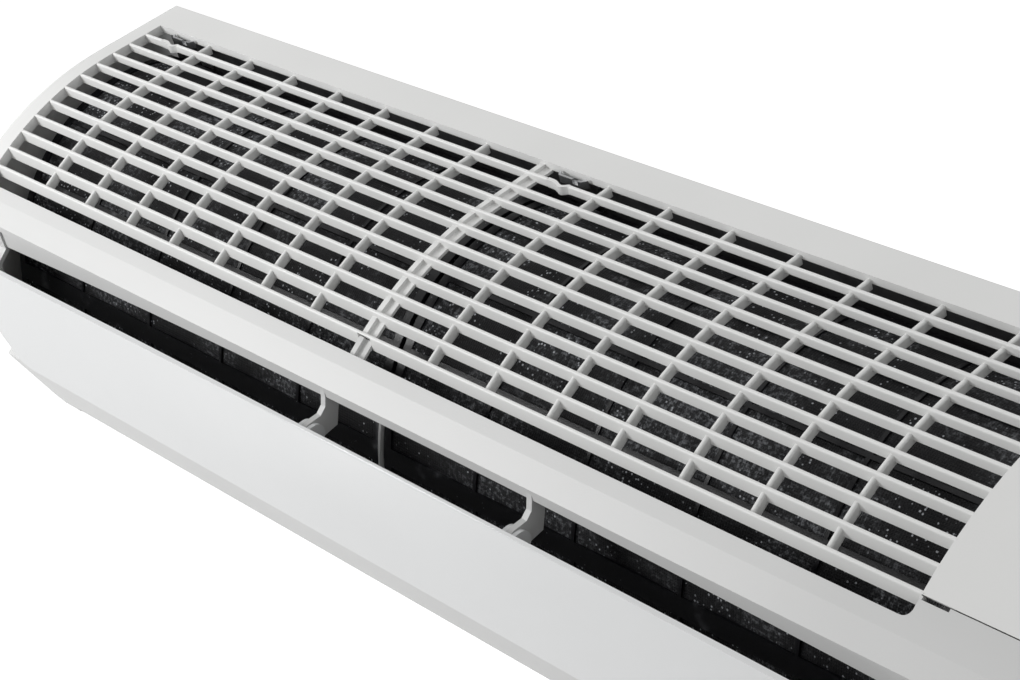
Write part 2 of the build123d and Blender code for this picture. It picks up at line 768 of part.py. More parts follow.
mouth_run = Vector(mouth_low[0] - mouth_top[0], mouth_low[1] - mouth_top[1]).normalized()
mouth_in = Vector(-mouth_run.Y, mouth_run.X)
louver_pivot = (mouth_top[0] + louver_pivot_along * mouth_run.X + louver_pivot_inside * mouth_in.X,
                mouth_top[1] + louver_pivot_along * mouth_run.Y + louver_pivot_inside * mouth_in.Y)
pan_floor_z = roof_z - pan_floor_drop
wall_front = pan_floor_z + 4.5
spout_place = (pan_back_y - 5.5, pan_floor_z + 0.6)
wall_overlap = coil_thickness - 2.6
inner_corners = ribbon(front_coil_path, wall_overlap)[3:]
back_corners = ribbon(back_coil_path, wall_overlap)
wall_outline = [(back_y, gutter_z + 4), (coil_back_y - 6, gutter_z + 4), back_corners[2],
                (peak_split, inner_corners[0][1] - 4), inner_corners[1], inner_corners[2],
                (inner_corners[2][0], wall_front),
                (mouth_top[0] - 2.5, wall_front), (mouth_top[0] - 0.7, roof_z - trim_low_drop + 2),
                (mouth_top[0] + 2.9, mouth_top[1] + 1.5), (mouth_top[0] + 4.3, mouth_top[1] - 1.0),
                (mouth_top[0] + 1.2, mouth_top[1] - 1.4),
                (mouth_low[0] - 2.0, mouth_low[1] + 3.7), (mouth_low[0] - 0.8, mouth_low[1] + 5.0),
                (mouth_low[0] + 2.9, mouth_low[1] + 2.3),
                (keel[0] + 2.4, bottom_z + 3), (keel[0] + bottom_strip + 1, bottom_z + 3),
                (keel[0] + bottom_strip + 1, bottom_z + 1.5), (back_y, bottom_z + 1.5)]
rib_outline = [(back_y, gutter_z)] + scroll_path[1:] + [floor_end, (keel[0] + 2.4, bottom_z + 3),
               (keel[0] + bottom_strip + 1, bottom_z + 3), (keel[0] + bottom_strip + 1, bottom_z + 1.5),
               (back_y, bottom_z + 1.5)]
vane_middle = (mouth_left + mouth_right) / 2
vane_places = [vane_middle + (k - vanes_per_group + 0.5) * vane_pitch for k in range(2 * vanes_per_group)]
vane_pivot = duct_point(-vane_setback, 0)
motor_left = wall_right + chassis_wall + motor_start
ring_places = [motor_left + ring_inset, motor_left + motor_length - ring_inset - ring_width]
saddle_bore = motor_radius + ring_thickness + 0.1
rail_z = back_top - rail_drop
rail_y = rear_y - 2.6
screw_y = keel[0] + bottom_strip / 2

with BuildPart() as chassis:
    plate(ribbon([(back_y, back_top), (back_y, bottom_z + 1)], skin), rear_flange - half_width + seam_gap,
          half_width - rear_flange - seam_gap)
    plate(ribbon([(back_y, gutter_z), (coil_back_y - 4, gutter_z)], skin), wall_left + 1, wall_right + 1)
    plate(ribbon(scroll_path + [floor_end], skin), wall_left + 1, wall_right + 1)
    block((rear_flange - half_width + seam_gap, keel[0] + bottom_strip + seam_gap, bottom_z),
          (half_width - rear_flange - seam_gap, back_y + skin / 2, bottom_z + skin))
    for start in (wall_left, wall_right):
        plate(wall_outline, start, start + chassis_wall)
    for k in range(rib_plate_count):
        x = inner_left + (inner_right - inner_left) * (k + 0.5) / rib_plate_count
        plate(rib_outline, x - rib_plate / 2, x + rib_plate / 2)
    # rail that hangs on the wall plate's hooks
    plate(ribbon([(back_y, rail_z), (rail_y, rail_z), (rail_y, rail_z - rail_lip)], skin),
          -plate_width / 2, plate_width / 2)
    # bearings of the fan and the louver, the drain's way out
    rod_x(fan_point, wall_left - 1, wall_left + 5, rubber_radius + 0.1, Mode.SUBTRACT)
    rod_x(fan_point, wall_right - 1, wall_right + 5, shaft_opening, Mode.SUBTRACT)
    for start in (wall_left - 1, wall_right - 1):
        rod_x(louver_pivot, start, start + 6, louver_pin_radius + run_gap, Mode.SUBTRACT)
    rod_x(spout_place, wall_right - 1, wall_right + 5, spout_radius + seat_gap, Mode.SUBTRACT)
    # pivots of the air vanes in the duct's floor
    for x in vane_places:
        with Locations(Plane(origin=(x, *vane_pivot), z_dir=(0, *upward))):
            Cylinder(vane_pin_radius + run_gap, 12, mode=Mode.SUBTRACT)
    # screw bosses under the duct's floor
    for x in screw_places:
        with Locations((x, screw_y, bottom_z + 5)):
            Cylinder(screw_boss_radius, screw_boss_length, align=(Align.CENTER, Align.CENTER, Align.MIN))
            Cylinder(screw_radius + run_gap, screw_boss_length - 2,
                     align=(Align.CENTER, Align.CENTER, Align.MIN), mode=Mode.SUBTRACT)
    # motor saddles and the ledges under the electronics box
    for start in ring_places:
        x = start + (ring_width - saddle_width) / 2
        saddle_y = fan_y - saddle_reach
        plate([(back_y, fan_z - seat_gap), (saddle_y, fan_z - seat_gap), (saddle_y, fan_z - saddle_drop),
               (keel[0] + bottom_strip + 1, fan_z - 72), (keel[0] + bottom_strip + 1, bottom_z + 1.5),
               (back_y, bottom_z + 1.5)], x, x + saddle_width)
        rod_x(fan_point, x - 1, x + saddle_width + 1, saddle_bore, Mode.SUBTRACT)
    ledge_top = box_low[2] - seat_gap
    ledge_low = ledge_top - ledge_thickness
    ledge_x = box_high[0] - 18
    block((wall_right + 1, -115, ledge_low), (box_low[0] + 3, -60, ledge_top))
    block((ledge_x, -75, ledge_low - 11), (ledge_x + ledge_width, back_y, ledge_top))
export(chassis, "chassis")

# ---------------------------------------------------------------- wall plate
plate_top = rail_z - 13.0
with BuildPart() as wall_plate:
    block((-plate_width / 2, -plate_sheet, -plate_height / 2), (plate_width / 2, 0, plate_top))
    block((-plate_width / 2, -plate_flange, -plate_height / 2),
          (plate_width / 2, 0, plate_sheet - plate_height / 2))
    for side in (-1, 1):
        edge = side * (plate_width / 2 - plate_sheet / 2)
        block((edge - plate_sheet / 2, -plate_flange, -plate_height / 2),
              (edge + plate_sheet / 2, 0, plate_top))
        middle = side * wall_hook_spacing / 2
        seat_z = rail_z - rail_lip - 0.9
        hook = ribbon([(-plate_sheet / 2, plate_top - 3), (-plate_sheet / 2, seat_z),
                       (-wall_hook_reach, seat_z), (-wall_hook_reach, seat_z + wall_hook_rise)], plate_sheet)
        plate(hook, middle - wall_hook_width / 2, middle + wall_hook_width / 2)
        for z in (-screw_spacing_z / 2, screw_spacing_z / 2):
            with Locations(Plane(origin=(side * screw_spacing_x / 2, 0, z), z_dir=(0, 1, 0))):
                Cylinder(screw_hole_radius, 4 * plate_sheet, mode=Mode.SUBTRACT)
        for z in (-30, 0, 30):
            with Locations(Plane(origin=(side * 90, 0, z), z_dir=(0, 1, 0))):
                Box(60, 9, 4 * plate_sheet, mode=Mode.SUBTRACT)
export(wall_plate, "wall_plate")

# ---------------------------------------------------------------- drain pan
pan_start = inner_left + end_gap
pan_end = inner_right - end_gap
with BuildPart() as drain_pan:
    plate(ribbon([(pan_front_y + 1, pan_floor_z + pan_front_height), (pan_front_y + 1, pan_floor_z - 1),
                  (pan_back_y - 1, pan_floor_z - 1), (pan_back_y - 1, pan_floor_z + pan_back_height)],
                 pan_sheet), pan_start, pan_end)
    for start in (pan_start, pan_end - pan_sheet):
        block((start, pan_front_y, pan_floor_z - pan_sheet),
              (start + pan_sheet, pan_back_y, pan_floor_z + 5.2))
    rod_x(spout_place, pan_end - pan_sheet, wall_right + spout_length, spout_radius)
    rod_x(spout_place, pan_end - pan_sheet, wall_right + spout_length + 1, spout_bore, Mode.SUBTRACT)
export(drain_pan, "drain_pan")

# ---------------------------------------------------------------- heat exchanger
fin_start = inner_left + 0.1 + end_plate
fin_end = inner_right - 0.3 - end_plate


def coil_block(corners, start, end, front):
    """Length of one coil bank, cut upright where the two banks meet at the top."""
    plate(corners, start, end)
    if front:
        block((start - 1, peak_split - 0.5, bottom_z), (end + 1, rear_y, roof_z), Mode.SUBTRACT)
    else:
        block((start - 1, front_y, bottom_z), (end + 1, peak_split + 0.5, roof_z), Mode.SUBTRACT)


with BuildPart() as coil_front:
    coil_block(front_coil, fin_start, fin_end, True)
export(coil_front, "coil_front")

with BuildPart() as coil_back:
    coil_block(back_coil, fin_start, fin_end, False)
export(coil_back, "coil_back")

with BuildPart() as plates_front:
    for start in (fin_start - end_plate, fin_end):
        plate(front_coil, start, start + end_plate)
    block((-half_width, peak_split - 0.5, bottom_z), (half_width, rear_y, roof_z), Mode.SUBTRACT)
export(plates_front, "coil_plates_front")

with BuildPart() as plates_back:
    for start in (fin_start - end_plate, fin_end):
        plate(back_coil, start, start + end_plate)
    block((-half_width, front_y, bottom_z), (half_width, peak_split + 0.5, roof_z), Mode.SUBTRACT)
export(plates_back, "coil_plates_back")


def tube_row(path, shift):
    """Tube centres (Y, Z) along a bank's path, shifted to one side of its middle."""
    row = []
    for a, b in zip(path, path[1:]):
        run = hypot(b[0] - a[0], b[1] - a[1])
        heading = ((b[0] - a[0]) / run, (b[1] - a[1]) / run)
        count = int((run - 8) // tube_pitch)
        first = (run - count * tube_pitch) / 2
        for k in range(count + 1):
            s = first + k * tube_pitch
            row.append((a[0] + s * heading[0] - shift * heading[1],
                        a[1] + s * heading[1] + shift * heading[0]))
    return row


tube_rows = [tube_row(path, shift) for path in (front_coil_path, back_coil_path)
             for shift in (-tube_row_offset, tube_row_offset)]


def bend(a, b, x, side):
    """Half-ring of tube between two tube ends on an end plate."""
    span = hypot(b[0] - a[0], b[1] - a[1])
    middle = ((a[0] + b[0]) / 2, (a[1] + b[1]) / 2)
    start = Vector(x, *a)
    tip = Vector(x + side * span / 2, *middle)
    with BuildLine() as path:
        ThreePointArc(start, tip, Vector(x, *b))
    with BuildSketch(Plane(origin=start, z_dir=(1, 0, 0))) as ring:
        Circle(tube_radius)
    sweep(ring.sketch, path=path.line)


bend_right = fin_end + end_plate + run_gap
bend_left = fin_start - end_plate - run_gap
with BuildPart() as tube_bends:
    for row in tube_rows:
        right_count = len(row) - 1 if row in tube_rows[:2] else 1
        for k in range(0, right_count, 2):
            bend(row[k], row[k + 1], bend_right, 1)
        for k in range(1, len(row) - 1, 2):
            bend(row[k], row[k + 1], bend_left, -1)
    bend(tube_rows[2][2], tube_rows[3][2], bend_right, 1)
export(tube_bends, "tube_bends")


def pipe(points, radius, turn):
    """Bent pipe through a list of points."""
    with BuildLine() as path:
        FilletPolyline(*points, radius=turn)
    with BuildSketch(Plane(origin=points[0], z_dir=(1, 0, 0))) as ring:
        Circle(radius)
    sweep(ring.sketch, path=path.line)


pipe_start_x = bend_right
suction_y, suction_z = tube_rows[3][-1]
liquid_y, liquid_z = tube_rows[2][-1]
suction_low = bottom_z + pipe_height - 4.0
liquid_low = bottom_z + pipe_height + 16.0
pipe_end_x = half_width - 18.0
suction_down_x = motor_left + motor_length + 16.0
liquid_down_x = suction_down_x + 8.0

with BuildPart() as suction_pipe:
    pipe([(pipe_start_x, suction_y, suction_z), (suction_down_x, suction_y, suction_z),
          (suction_down_x, suction_y, suction_low), (pipe_end_x, suction_y, suction_low)],
         suction_radius, pipe_bend)
export(suction_pipe, "suction_pipe")

with BuildPart() as liquid_pipe:
    pipe([(pipe_start_x, liquid_y, liquid_z), (liquid_down_x, liquid_y, liquid_z),
          (liquid_down_x, liquid_y, liquid_low), (pipe_end_x, liquid_y, liquid_low)],
         liquid_radius, pipe_bend)
export(liquid_pipe, "liquid_pipe")

with BuildPart() as flare_nuts:
    for y, z, radius in ((suction_y, suction_low, suction_radius), (liquid_y, liquid_low, liquid_radius)):
        with BuildSketch(Plane.YZ.offset(pipe_end_x - flare_length)) as hexagon:
            with Locations((y, z)):
                RegularPolygon(radius * 1.5 + 3.6, 6)
        extrude(hexagon.sketch, amount=flare_length, dir=(1, 0, 0))
        rod_x((y, z), pipe_end_x - flare_length - 1, pipe_end_x + 1, radius + run_gap, Mode.SUBTRACT)
export(flare_nuts, "flare_nuts")

# ---------------------------------------------------------------- cross-flow fan
fan_start = inner_left + 4.0
fan_end = inner_right - 7.5
shaft_grip = 24.0


def blade_corners(turn):
    """Corners of one forward-curved blade, turned about the fan's axis."""
    path = []
    for k in range(4):
        share = k / 3
        reach = fan_radius - 0.5 - blade_chord * (1 - share)
        angle = turn + 0.42 * share ** 2
        path.append((fan_y + reach * cos(angle), fan_z + reach * sin(angle)))
    return ribbon(path, blade_thickness)


with BuildPart() as fan:
    with BuildSketch(Plane.YZ.offset(fan_start + 0.5)) as blades:
        for k in range(blade_count):
            with BuildLine():
                corners = blade_corners(2 * pi * k / blade_count)
                Polyline(*corners, corners[0])
            make_face()
    extrude(blades.sketch, amount=fan_end - fan_start - 1, dir=(1, 0, 0))
    for k in range(fan_disc_count):
        x = fan_start + (fan_end - fan_start - fan_disc_thickness) * k / (fan_disc_count - 1)
        with BuildSketch(Plane.YZ.offset(x)) as disc:
            with Locations(fan_point):
                Circle(fan_radius)
                if 0 < k < fan_disc_count - 1:
                    Circle(fan_radius - blade_chord - 3, mode=Mode.SUBTRACT)
        extrude(disc.sketch, amount=fan_disc_thickness, dir=(1, 0, 0))
    rod_x(fan_point, fan_end - shaft_grip, fan_end, 9.0)
    rod_x(fan_point, fan_end - shaft_grip + 4, fan_end + 1, fan_shaft_radius + run_gap, Mode.SUBTRACT)
    rod_x(fan_point, fan_start, fan_start + 12, 9.0)
    rod_x(fan_point, fan_start - 1, fan_start + 10, fan_shaft_radius + run_gap, Mode.SUBTRACT)
export(fan, "fan")

with BuildPart() as fan_pin:
    rod_x(fan_point, wall_left - 4.5, fan_start + 9.8, fan_shaft_radius)
export(fan_pin, "fan_pin")

with BuildPart() as motor_shaft:
    rod_x(fan_point, fan_end - shaft_grip + 4.2, motor_left + 20, fan_shaft_radius)
export(motor_shaft, "motor_shaft")

with BuildPart() as fan_bush:
    rod_x(fan_point, wall_left - 1.5, inner_left + 0.8, bush_radius)
    rod_x(fan_point, wall_left - 2, inner_left + 1, fan_shaft_radius + run_gap, Mode.SUBTRACT)
export(fan_bush, "fan_bush")

with BuildPart() as bush_rubber:
    rod_x(fan_point, wall_left - 0.8, inner_left + 0.4, rubber_radius)
    rod_x(fan_point, wall_left - 2, inner_left + 1, bush_radius + run_gap, Mode.SUBTRACT)
export(bush_rubber, "bush_rubber")

# ---------------------------------------------------------------- fan motor
with BuildPart() as fan_motor:
    rod_x(fan_point, motor_left, motor_left + motor_length, motor_radius)
    fillet(fan_motor.edges().filter_by(GeomType.CIRCLE), radius=3)
    rod_x(fan_point, motor_left - 4, motor_left + 1, 9.0)
    rod_x(fan_point, motor_left - 5, motor_left + 21, fan_shaft_radius + run_gap, Mode.SUBTRACT)
export(fan_motor, "fan_motor")

with BuildPart() as motor_rings:
    for start in ring_places:
        rod_x(fan_point, start, start + ring_width, motor_radius + ring_thickness)
        rod_x(fan_point, start - 1, start + ring_width + 1, motor_radius + run_gap, Mode.SUBTRACT)
export(motor_rings, "motor_rings")

with BuildPart() as motor_straps:
    for start in ring_places:
        rod_x(fan_point, start, start + ring_width, saddle_bore + strap_thickness)
        rod_x(fan_point, start - 1, start + ring_width + 1, saddle_bore, Mode.SUBTRACT)
        block((start - 1, fan_y - 60, fan_z - 60), (start + ring_width + 1, fan_y + 60, fan_z), Mode.SUBTRACT)
        for side in (-1, 1):
            near = fan_y + side * (saddle_bore + 0.2)
            far = near + side * strap_foot
            block((start, min(near, far), fan_z),
                  (start + ring_width, max(near, far), fan_z + strap_thickness))
export(motor_straps, "motor_straps")

# ---------------------------------------------------------------- louver
mouth_length = hypot(mouth_low[0] - mouth_top[0], mouth_low[1] - mouth_top[1])


def mouth_point(along, inside):
    """Point (Y, Z) at a length down the outlet from its upper edge, inside the case's surface."""
    y = mouth_top[0] + along * mouth_run.X + inside * mouth_in.X
    z = mouth_top[1] + along * mouth_run.Y + inside * mouth_in.Y
    return (y, z)


with BuildPart() as louver:
    with BuildSketch(Plane.YZ.offset(mouth_left)) as outline:
        with BuildLine():
            outer = [mouth_point(2.6, 0.6), mouth_point(mouth_length / 2, 0.6 - louver_crown),
                     mouth_point(mouth_length - 2.4, 0.6)]
            inner = [mouth_point(mouth_length - 3.8, 2.0), mouth_point(mouth_length / 2, louver_thickness),
                     mouth_point(3.4, 2.0)]
            ThreePointArc(*outer)
            Line(outer[2], inner[0])
            ThreePointArc(*inner)
            Line(inner[2], outer[0])
        make_face()
    extrude(outline.sketch, amount=mouth_right - mouth_left, dir=(1, 0, 0))
    for start in (mouth_left, mouth_right - 3):
        rod_x(louver_pivot, start, start + 3, 4.2)
        plate([mouth_point(3, 1.5), mouth_point(16, 1.5), mouth_point(9, 8), mouth_point(4, 8)],
              start, start + 3)
    rod_x(louver_pivot, wall_left + 0.3, mouth_left + 1, louver_pin_radius)
    rod_x(louver_pivot, mouth_right - 1, wall_right + chassis_wall + 7, louver_pin_radius)
export(louver, "louver")

motor_place = (louver_pivot[0] + louver_motor_shift * mouth_in.X,
               louver_pivot[1] + louver_motor_shift * mouth_in.Y)
louver_motor_start = wall_right + chassis_wall + 0.2
with BuildPart() as louver_motor:
    rod_x(motor_place, louver_motor_start, louver_motor_start + louver_motor_length, louver_motor_radius)
    rod_x(louver_pivot, louver_motor_start, louver_motor_start + 9, 3.5)
    rod_x(louver_pivot, louver_motor_start - 1, louver_motor_start + 7.5, louver_pin_radius + run_gap,
          Mode.SUBTRACT)
export(louver_motor, "louver_motor")

# ---------------------------------------------------------------- air vanes and their links
vane_outline = [(-16.0, 3.0), (10.0, 3.0), (14.0, vane_height), (-6.0, vane_height)]


def at_vane(x, along, above):
    """Point in space beside a vane's pivot."""
    return Vector(x, *duct_point(along - vane_setback, above))


def vane_plane(x, along, above):
    """Plane across a vane's pivot axis."""
    return Plane(origin=at_vane(x, along, above), x_dir=(1, 0, 0), z_dir=(0, *upward))


link_top = vane_height + 0.4
for k, x in enumerate(vane_places):
    side = "left" if k < vanes_per_group else "right"
    with BuildPart() as vane:
        plate([duct_point(t - vane_setback, h) for t, h in vane_outline],
              x - vane_thickness / 2, x + vane_thickness / 2)
        with Locations(vane_plane(x, 0, 0.4)):
            Cylinder(4.0, 4.0, align=(Align.CENTER, Align.CENTER, Align.MIN))
        with Locations(vane_plane(x, 0, -skin - 1.6)):
            Cylinder(vane_pin_radius, skin + 3, align=(Align.CENTER, Align.CENTER, Align.MIN))
        with Locations(vane_plane(x, link_along, vane_height - 1)):
            Cylinder(link_pin_radius, link_thickness + 3, align=(Align.CENTER, Align.CENTER, Align.MIN))
    export(vane, f"vane_{side}_{k % vanes_per_group + 1}")

for side, places in (("left", vane_places[:vanes_per_group]), ("right", vane_places[vanes_per_group:])):
    middle = (places[0] + places[-1]) / 2
    with BuildPart() as link:
        with Locations(vane_plane(middle, link_along, link_top)):
            Box(places[-1] - places[0] + 2 * link_width, link_width, link_thickness,
                align=(Align.CENTER, Align.CENTER, Align.MIN))
        for x in places:
            with Locations(vane_plane(x, link_along, link_top - 1)):
                Cylinder(link_pin_radius + run_gap, link_thickness + 2,
                         align=(Align.CENTER, Align.CENTER, Align.MIN), mode=Mode.SUBTRACT)
    export(link, f"link_{side}")

# ---------------------------------------------------------------- filters
frame_outer = filter_radius
frame_inner = filter_radius - filter_frame
mesh_middle = filter_radius - filter_frame / 2
filter_low = filter_back_angle
filter_high = filter_front_angle
border_angle = degrees(filter_border / filter_radius)
bar_angle = degrees(filter_bar / filter_radius)
band_angle = degrees(filter_band / filter_radius)
band_low = filter_band_angle - band_angle / 2
filter_spans = (("left", air_left + 1.0, grille_middle - divider_width / 2 - filter_end_gap),
                ("right", grille_middle + divider_width / 2 + filter_end_gap, air_right - 1.0))
for side, start, end in filter_spans:
    with BuildPart() as filter_body:
        for edge in (start, end - filter_border):
            sector(frame_inner, frame_outer, filter_low, filter_high, edge, edge + filter_border)
        for k in range(1, filter_columns):
            x = start + (end - start) * k / filter_columns
            sector(frame_inner, frame_outer, filter_low, filter_high, x - filter_bar / 2, x + filter_bar / 2)
        sector(frame_inner, frame_outer, filter_low, filter_low + border_angle, start, end)
        sector(frame_inner, frame_outer, filter_high - border_angle, filter_high, start, end)
        sector(frame_inner, frame_outer, band_low, band_low + band_angle, start, end)
        for k in range(1, filter_rows):
            angle = filter_low + (filter_high - filter_low) * k / filter_rows
            sector(frame_inner, frame_outer, angle - bar_angle / 2, angle + bar_angle / 2, start, end)
    export(filter_body, f"filter_{side}")
    with BuildPart() as mesh:
        sector(mesh_middle - filter_mesh / 2, mesh_middle + filter_mesh / 2, filter_low + border_angle / 2,
               filter_high - border_angle / 2, start + filter_border / 2, end - filter_border / 2)
    export(mesh, f"mesh_{side}")

guide_outer = frame_inner - seat_gap
guide_inner = guide_outer - guide_thickness
guide_low = 64.3
guide_high = 197.5
with BuildPart() as filter_guides:
    sector(guide_inner, guide_outer, guide_low, guide_high, wall_left + 0.6, wall_left + 0.6 + rail_reach)
    sector(guide_inner, guide_outer, guide_low, guide_high, air_right + 0.2 - rail_reach, air_right - 0.4)
    sector(guide_inner, guide_outer, guide_low, guide_high, grille_middle - rail_reach,
           grille_middle + rail_reach)
export(filter_guides, "filter_guides")

# ---------------------------------------------------------------- electronics box
with BuildPart() as control_box:
    block(box_low, box_high)
    block((box_low[0] + box_wall, box_low[1] - 1, box_low[2] + box_wall),
          (box_high[0] - box_wall, box_high[1] - box_wall, box_high[2] - box_wall), Mode.SUBTRACT)
    for x in (box_low[0] + 8, box_high[0] - 8):
        for z in (box_low[2] + 8, box_high[2] - 8):
            with Locations(Plane(origin=(x, box_high[1] - box_wall, z), z_dir=(0, -1, 0))):
                Cylinder(post_radius, board_post, align=(Align.CENTER, Align.CENTER, Align.MIN))
export(control_box, "control_box")

with BuildPart() as box_cover:
    block((box_low[0], box_low[1] - box_wall - seat_gap, box_low[2]),
          (box_high[0], box_low[1] - seat_gap, box_high[2]))
    block((box_low[0] + box_wall + seat_gap, box_low[1] - 1, box_low[2] + box_wall + seat_gap),
          (box_high[0] - box_wall - seat_gap, box_low[1] + 3, box_high[2] - box_wall - seat_gap))
export(box_cover, "box_cover")

board_y = box_high[1] - box_wall - board_post - seat_gap
board_x = box_low[0] + 4
board_z = box_low[2] + 4


def on_board(x, z, size):
    """Part in front of the board, with its lower left corner at a place on it."""
    block((board_x + x, board_y - 1 - size[1], board_z + z),
          (board_x + x + size[0], board_y - 1, board_z + z + size[2]))


with BuildPart() as control_board:
    block((board_x, board_y - board_thickness, board_z), (box_high[0] - 4, board_y, box_high[2] - 4))
    on_board(6, 6, transformer)
    on_board(66, 22, relay)
    for x in (42, 56):
        with Locations(Plane(origin=(board_x + x, board_y - 1, board_z + 16), z_dir=(0, -1, 0))):
            Cylinder(capacitor_radius, capacitor_length, align=(Align.CENTER, Align.CENTER, Align.MIN))
export(control_board, "control_board")

terminal_x = board_x + 66
terminal_z = board_z + 4
with BuildPart() as terminal_block:
    block((terminal_x, board_y - 20, terminal_z),
          (terminal_x + 34, board_y - board_thickness - 0.2, terminal_z + 14))
    for k in range(3):
        low_x = terminal_x + 4 + terminal_pitch * k
        block((low_x, board_y - 21, terminal_z + 2),
              (low_x + terminal_pocket[0], board_y - 21 + terminal_pocket[1],
               terminal_z + 2 + terminal_pocket[2]), Mode.SUBTRACT)
export(terminal_block, "terminal_block")

# ---------------------------------------------------------------- display, button, hooks and screws
def trim_point(z, inside):
    """Point (Y, Z) on the lower front, at a height and behind its surface."""
    share = (z - trim_top[1]) / (trim_low[1] - trim_top[1])
    return (trim_top[0] + share * (trim_low[0] - trim_top[0]) + inside, z)


window_z = (trim_top[1] + trim_low[1]) / 2
with BuildPart() as display_lens:
    high = window_z + window_height / 2 - lens_gap
    low = window_z - window_height / 2 + lens_gap
    left = window_x - window_length / 2
    right = window_x + window_length / 2
    plate([trim_point(high, 0.4), trim_point(low, 0.4), trim_point(low, 4.0), trim_point(high, 4.0)],
          left + lens_gap, right - lens_gap)
    plate([trim_point(high + lens_rim, 2.8), trim_point(low - lens_rim, 2.8), trim_point(low - lens_rim, 4.0),
           trim_point(high + lens_rim, 4.0)], left - lens_rim, right + lens_rim)
export(display_lens, "display_lens")

with BuildPart() as display_board:
    plate([trim_point(high + 2, 4.3), trim_point(low - 2, 4.3), trim_point(low - 2, 4.3 + board_thickness),
           trim_point(high + 2, 4.3 + board_thickness)], left - 2, right + 2)
export(display_board, "display_board")

cheek_share = (cheek_top[1] - button_z) / (cheek_top[1] - cheek_mid[1])
button_face_y = cheek_top[0] + cheek_share * (cheek_mid[0] - cheek_top[0])
button_shelf_y = button_face_y + skin + 0.5


def disc_y(start, end, radius, mode=Mode.ADD):
    """Round piece along Y about the button's axis."""
    with Locations(Plane(origin=(button_x, start, button_z), z_dir=(0, 1, 0))):
        Cylinder(radius, end - start, align=(Align.CENTER, Align.CENTER, Align.MIN), mode=mode)


with BuildPart() as button:
    disc_y(button_face_y - button_proud, button_shelf_y + 1.5, button_radius)
    disc_y(button_shelf_y, button_shelf_y + 1.5, button_radius + button_rim)
    disc_y(button_shelf_y + 1, button_shelf_y + button_stem, 2.4)
export(button, "button")

holder_y = button_shelf_y + button_stem + button_travel + 3.8
with BuildPart() as button_holder:
    disc_y(button_shelf_y + 0.1, holder_y + 2, 8.6)
    disc_y(button_shelf_y - 1, holder_y, button_radius + button_rim + seat_gap, Mode.SUBTRACT)
export(button_holder, "button_holder")

with BuildPart() as button_spring:
    disc_y(button_shelf_y + 1.6, holder_y - 0.1, 4.0)
    disc_y(button_shelf_y, holder_y + 1, 2.8, Mode.SUBTRACT)
export(button_spring, "button_spring")

hook_leg_y = back_y - skin / 2 - seat_gap - hook_sheet / 2
hook_top = roof_z - hook_recess
hook_foot = hook_top - hook_height + hook_sheet / 2


def hook_plan(place):
    """Plan of a hook: a thin wall with round corners that stands out from the grille's back edge."""
    rear = grille_back_y - seat_gap - hook_sheet / 2
    reach = grille_back_y - hook_reach
    half = (hook_length - hook_sheet) / 2
    path = [(place - half, rear), (place - half + hook_corner / 2, reach + hook_corner),
            (place - half + 1.5 * hook_corner, reach), (place + half - 1.5 * hook_corner, reach),
            (place + half - hook_corner / 2, reach + hook_corner), (place + half, rear)]
    corners = ribbon(path, hook_sheet)
    with BuildSketch(Plane.XY.offset(hook_top)) as plan:
        with BuildLine():
            Polyline(*corners, corners[0])
        make_face()
    return plan.sketch


with BuildPart() as roof_hooks:
    for cell in cell_starts:
        place = cell + hook_start
        extrude(hook_plan(place), amount=hook_height, dir=(0, 0, -1))
        notch_length, notch_depth = hook_notch
        block((place + hook_notch_shift, grille_back_y - hook_reach - hook_sheet, hook_top - notch_depth),
              (place + hook_notch_shift + notch_length, grille_back_y, hook_top + 1), Mode.SUBTRACT)
        # leg that runs back below the grille's edge and down the back sheet
        leg = [(grille_back_y - hook_reach, hook_foot), (hook_leg_y, hook_foot),
               (hook_leg_y, back_top - hook_leg)]
        plate(ribbon(leg, hook_sheet), place - hook_leg_width / 2, place + hook_leg_width / 2)
export(roof_hooks, "roof_hooks")

with BuildPart() as case_screws:
    for x in screw_places:
        with Locations((x, screw_y, bottom_z + screw_head_gap)):
            Cylinder(screw_head, screw_head_height, align=(Align.CENTER, Align.CENTER, Align.MIN))
            Cylinder(screw_radius, screw_length, align=(Align.CENTER, Align.CENTER, Align.MIN))
export(case_screws, "case_screws")
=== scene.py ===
import json
import bpy
import numpy as np
from mathutils import Matrix, Vector


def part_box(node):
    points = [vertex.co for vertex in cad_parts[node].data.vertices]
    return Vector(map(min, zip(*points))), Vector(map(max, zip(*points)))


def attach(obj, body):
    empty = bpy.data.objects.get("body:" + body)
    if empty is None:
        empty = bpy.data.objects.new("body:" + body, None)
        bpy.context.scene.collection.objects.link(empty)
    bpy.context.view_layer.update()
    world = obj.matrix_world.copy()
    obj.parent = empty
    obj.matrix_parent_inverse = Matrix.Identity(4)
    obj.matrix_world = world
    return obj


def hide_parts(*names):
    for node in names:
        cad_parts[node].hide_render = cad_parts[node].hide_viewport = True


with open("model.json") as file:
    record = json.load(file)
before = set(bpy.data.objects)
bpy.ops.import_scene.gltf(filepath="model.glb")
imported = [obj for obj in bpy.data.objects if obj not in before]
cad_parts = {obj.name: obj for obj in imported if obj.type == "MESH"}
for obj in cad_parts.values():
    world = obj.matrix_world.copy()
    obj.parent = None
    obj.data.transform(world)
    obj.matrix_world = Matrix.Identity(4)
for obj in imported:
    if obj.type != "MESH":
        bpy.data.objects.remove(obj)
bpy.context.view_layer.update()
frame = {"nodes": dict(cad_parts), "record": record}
MM = 0.001


def add_object(name, data):
    """Puts a mesh, a lamp or a camera into the scene under its name."""
    made = bpy.data.objects.new(name, data)
    bpy.context.scene.collection.objects.link(made)
    return made


